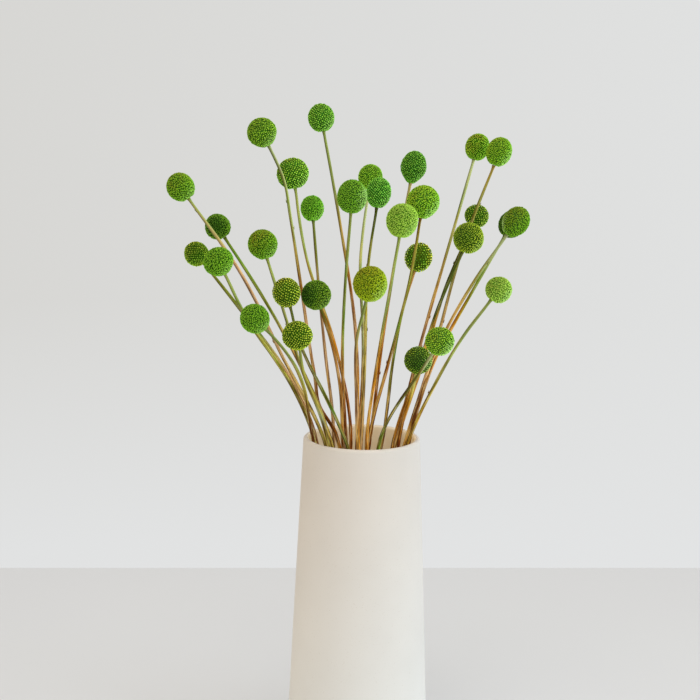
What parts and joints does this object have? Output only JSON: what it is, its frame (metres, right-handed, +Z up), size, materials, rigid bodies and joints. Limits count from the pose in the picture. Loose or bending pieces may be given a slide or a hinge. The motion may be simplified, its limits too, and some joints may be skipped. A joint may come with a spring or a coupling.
{
  "type": "vase of billy buttons",
  "caption": "Tall tapered ceramic vase holding a loose, wide-spreading bunch of billy buttons: bare stalks that each end in one round green flower head.",
  "frame": {"origin": "centre of the vase's flat foot, on the surface it stands on", "axes": "+Z up along the vase's axis; the bunch spreads widest along X; -Y is the side that the lower heads lean to"},
  "size_m": [0.3164, 0.2335, 0.5948],
  "materials": {
    "vase_ceramic": "matte",
    "head_fresh": "matte",
    "head_deep": "matte",
    "head_lime": "matte",
    "head_olive": "matte",
    "head_yellow": "matte",
    "stem_tan": "satin",
    "stem_brown": "satin",
    "stem_green": "satin",
    "stem_dark": "satin"
  },
  "bodies": {
    "root": {"vase": "vase_ceramic", "head_01": "head_fresh", "head_02": "head_fresh", "head_03": "head_fresh", "head_04": "head_fresh", "head_05": "head_deep", "head_06": "head_fresh", "head_07": "head_fresh", "head_08": "head_fresh", "head_09": "head_fresh", "head_10": "head_fresh", "head_11": "head_fresh", "head_12": "head_deep", "head_13": "head_fresh", "head_14": "head_lime", "head_15": "head_fresh", "head_16": "head_deep", "head_17": "head_fresh", "head_18": "head_fresh", "head_19": "head_olive", "head_20": "head_olive", "head_21": "head_fresh", "head_22": "head_deep", "head_23": "head_lime", "head_24": "head_olive", "head_25": "head_deep", "head_26": "head_fresh", "head_27": "head_olive", "head_28": "head_yellow", "head_29": "head_deep", "head_30": "head_fresh", "stem_01": "stem_tan", "stem_02": "stem_tan", "stem_03": "stem_tan", "stem_04": "stem_tan", "stem_05": "stem_dark", "stem_06": "stem_tan", "stem_07": "stem_green", "stem_08": "stem_brown", "stem_09": "stem_green", "stem_10": "stem_dark", "stem_11": "stem_green", "stem_12": "stem_tan", "stem_13": "stem_tan", "stem_14": "stem_tan", "stem_15": "stem_brown", "stem_16": "stem_dark", "stem_17": "stem_tan", "stem_18": "stem_brown", "stem_19": "stem_tan", "stem_20": "stem_dark", "stem_23": "stem_green", "stem_24": "stem_green", "stem_25": "stem_dark", "stem_26": "stem_green", "stem_27": "stem_green", "stem_28": "stem_green", "stem_29": "stem_green", "stem_30": "stem_green", "stems_21_22": "stem_green"}
  },
  "joints": []
}
